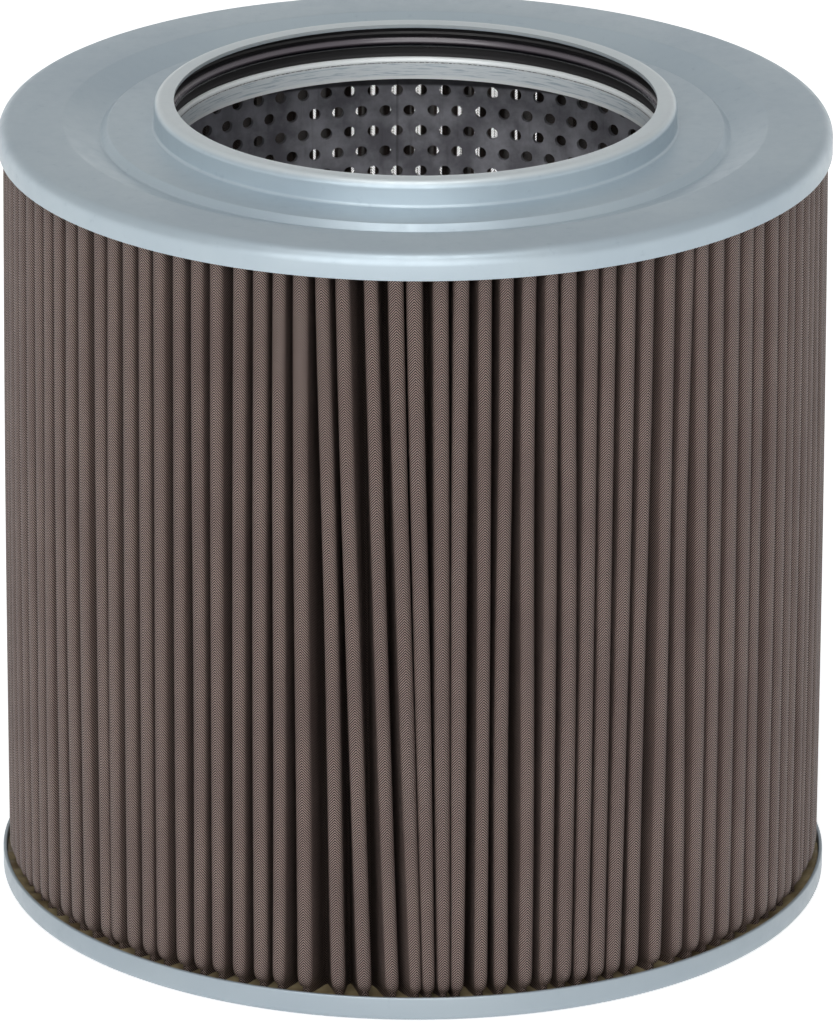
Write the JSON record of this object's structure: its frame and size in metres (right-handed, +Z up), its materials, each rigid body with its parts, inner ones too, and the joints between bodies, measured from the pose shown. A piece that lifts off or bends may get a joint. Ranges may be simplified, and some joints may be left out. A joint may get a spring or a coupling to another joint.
{
  "type": "pleated filter element",
  "caption": "Round hydraulic filter element: pleated woven wire cloth around a perforated core, between pressed steel end caps, with a sealed outlet bore on top.",
  "frame": {"origin": "centre of the bottom face, on the floor", "axes": "+Z up along the element's axis, out of the outlet bore"},
  "size_m": [0.1506, 0.1506, 0.148],
  "materials": {
    "plated_cap": "satin blue-grey plated sheet steel",
    "plated_sleeve": "bright plated steel, lightly scuffed",
    "seal_rubber": "smooth black moulded rubber",
    "core_steel": "dull dark grey sheet steel",
    "wire_cloth": "matt brown-grey woven wire cloth"
  },
  "bodies": {
    "root": {"top_end_cap": "plated_cap", "bottom_end_cap": "plated_cap", "bore_sleeve": "plated_sleeve", "bore_seal": "seal_rubber", "core_tube": "core_steel", "pleated_media": "wire_cloth"}
  },
  "joints": []
}
